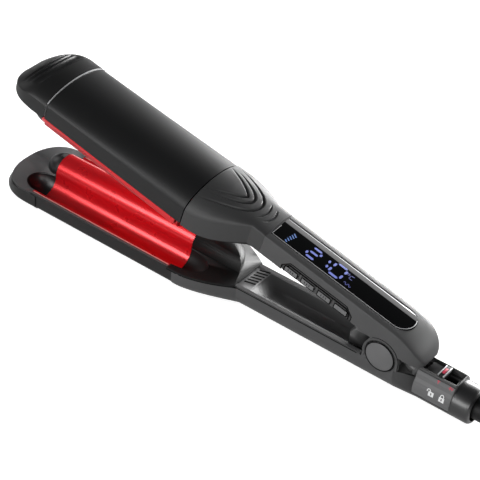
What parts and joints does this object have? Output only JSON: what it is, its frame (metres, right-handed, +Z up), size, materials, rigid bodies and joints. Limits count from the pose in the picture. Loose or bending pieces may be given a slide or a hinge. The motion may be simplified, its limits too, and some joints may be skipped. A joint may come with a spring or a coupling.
{
  "type": "hair waver",
  "caption": "Hand-held hair waver: two hinged arms close a pair of S-shaped heated plates, with display, side buttons, sliding lock and swivel cord.",
  "frame": {"origin": "middle of the resting face under the lower arm, half way between the tip and the end of the strain relief, on the centre plane", "axes": "+X from the tip towards the cord, +Y to the side without buttons, +Z up from the resting face"},
  "size_m": [0.5258, 0.0906, 0.1024],
  "materials": {
    "soft_grey_casing": "soft-touch dark grey",
    "dark_head_panel": "satin near-black",
    "black_satin": "satin black",
    "red_ceramic": "glossy red ceramic coating",
    "silver_trim": "bright silver",
    "gloss_black": "high gloss black",
    "button_grey": "satin dark grey",
    "red_mark": "red index",
    "cord_rubber": "black flexible sheath",
    "steel": "plain steel",
    "contact_metal": "nickel-plated contacts",
    "heat_proof_plastic": "heat-proof moulding",
    "ceramic_heater": "ceramic heating bar",
    "copper_sensor": "copper-coloured sensor",
    "board_green": "circuit board",
    "module_dark": "dark module",
    "bush_plastic": "bearing plastic"
  },
  "bodies": {
    "lower_arm": {"lower_tip_cap": "soft_grey_casing", "lower_head_panel": "dark_head_panel", "lower_handle_shell": "soft_grey_casing", "lower_inner_frame": "black_satin", "lower_neck_fairing": "black_satin", "lower_handle_cover": "black_satin", "lower_wave_plate": "red_ceramic", "lower_heater": "ceramic_heater", "lower_heater_carrier": "heat_proof_plastic", "lower_sensor": "copper_sensor", "ion_generator": "module_dark", "casing_screws": "steel", "hinge_yoke": "soft_grey_casing", "hinge_pin": "steel", "hinge_cap_near": "soft_grey_casing", "hinge_cap_far": "soft_grey_casing", "hinge_spring": "steel", "tail_housing": "black_satin", "lock_panel": "black_satin", "swivel_collar": "gloss_black", "swivel_bush": "bush_plastic", "cord_lead": "cord_rubber", "cord_coil": "cord_rubber", "cord_end": "cord_rubber", "cord_tie": "cord_rubber", "plug_body": "cord_rubber", "plug_pins": "contact_metal"},
    "upper_arm": {"upper_tip_cap": "soft_grey_casing", "upper_cap_trim": "silver_trim", "upper_head_panel": "dark_head_panel", "upper_neck_cover": "soft_grey_casing", "upper_handle_shell": "soft_grey_casing", "upper_tip_insert": "black_satin", "upper_neck_insert": "black_satin", "upper_handle_cover": "black_satin", "upper_wave_plate": "red_ceramic", "upper_heater": "ceramic_heater", "upper_heater_carrier": "heat_proof_plastic", "upper_sensor": "copper_sensor", "hinge_knuckle": "black_satin", "display_lens": "gloss_black", "display_module": "module_dark", "control_board": "board_green", "button_frame": "black_satin", "tact_switches": "module_dark"},
    "lock": {"lock_slider": "black_satin", "slider_bar": "silver_trim", "slider_pointer": "red_mark", "latch_bar": "steel"},
    "cord_swivel": {"cord_relief": "cord_rubber"},
    "key_1": {"button_1": "button_grey"},
    "key_2": {"button_2": "button_grey"},
    "key_3": {"button_3": "button_grey"},
    "key_4": {"button_4": "button_grey"}
  },
  "joints": [
    {"name": "arm_hinge", "type": "hinge", "parent": "lower_arm", "child": "upper_arm", "pos_m": [0.093, 0, 0.024], "axis": [0, -1, 0], "range_deg": [0, 13], "stiffness_Nm_per_rad": 1, "springref_deg": -45.84},
    {"name": "lock_slide", "type": "slide", "parent": "lower_arm", "child": "lock", "axis": [1, 0, 0], "range_m": [0, 0.008]},
    {"name": "cord_swivel", "type": "hinge", "parent": "lower_arm", "child": "cord_swivel", "pos_m": [0.153, 0, 0.0116], "axis": [1, 0, 0], "continuous": true},
    {"name": "button_1_press", "type": "slide", "parent": "upper_arm", "child": "key_1", "axis": [0, 1, 0], "range_m": [0, 0.0006], "stiffness_N_per_m": 800, "springref_m": -0.0005},
    {"name": "button_2_press", "type": "slide", "parent": "upper_arm", "child": "key_2", "axis": [0, 1, 0], "range_m": [0, 0.0006], "stiffness_N_per_m": 800, "springref_m": -0.0005},
    {"name": "button_3_press", "type": "slide", "parent": "upper_arm", "child": "key_3", "axis": [0, 1, 0], "range_m": [0, 0.0006], "stiffness_N_per_m": 800, "springref_m": -0.0005},
    {"name": "button_4_press", "type": "slide", "parent": "upper_arm", "child": "key_4", "axis": [0, 1, 0], "range_m": [0, 0.0006], "stiffness_N_per_m": 800, "springref_m": -0.0005}
  ]
}
